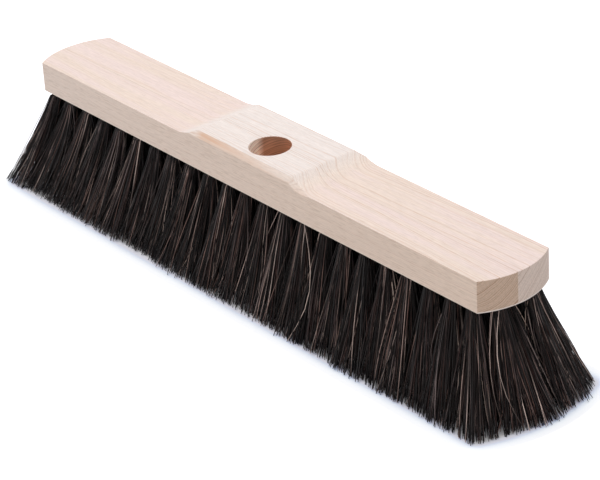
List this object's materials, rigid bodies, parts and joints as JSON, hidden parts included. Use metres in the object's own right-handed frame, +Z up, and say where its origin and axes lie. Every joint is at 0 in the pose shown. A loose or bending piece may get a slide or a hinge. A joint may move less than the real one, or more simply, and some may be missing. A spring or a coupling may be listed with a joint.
{
  "type": "wide floor broom head",
  "caption": "Wide floor broom head: a block of beech glued from two staves, with a raised middle drilled for a handle and staggered rows of splayed dark bristle tufts.",
  "frame": {"origin": "on the floor under the middle of the bristle tips", "axes": "+X along the block, +Z up, and -Y towards the long side that the handle leans to"},
  "size_m": [0.4416, 0.0914, 0.086],
  "materials": {
    "beech": "matte",
    "bristle": "satin"
  },
  "bodies": {
    "root": {"front_stave": "beech", "rear_stave": "beech", "tuft_bank_01": "bristle", "tuft_bank_02": "bristle", "tuft_bank_03": "bristle", "tuft_bank_04": "bristle", "tuft_bank_05": "bristle", "tuft_bank_06": "bristle", "tuft_bank_07": "bristle", "tuft_bank_08": "bristle", "tuft_bank_09": "bristle", "tuft_bank_10": "bristle", "tuft_bank_11": "bristle", "tuft_bank_12_front": "bristle", "tuft_bank_12_rear": "bristle", "tuft_bank_13": "bristle", "tuft_bank_14": "bristle", "tuft_bank_15": "bristle", "tuft_bank_16": "bristle", "tuft_bank_17": "bristle", "tuft_bank_18": "bristle", "tuft_bank_19": "bristle", "tuft_bank_20": "bristle", "tuft_bank_21": "bristle", "tuft_bank_22": "bristle", "tuft_bank_23": "bristle"}
  },
  "joints": []
}
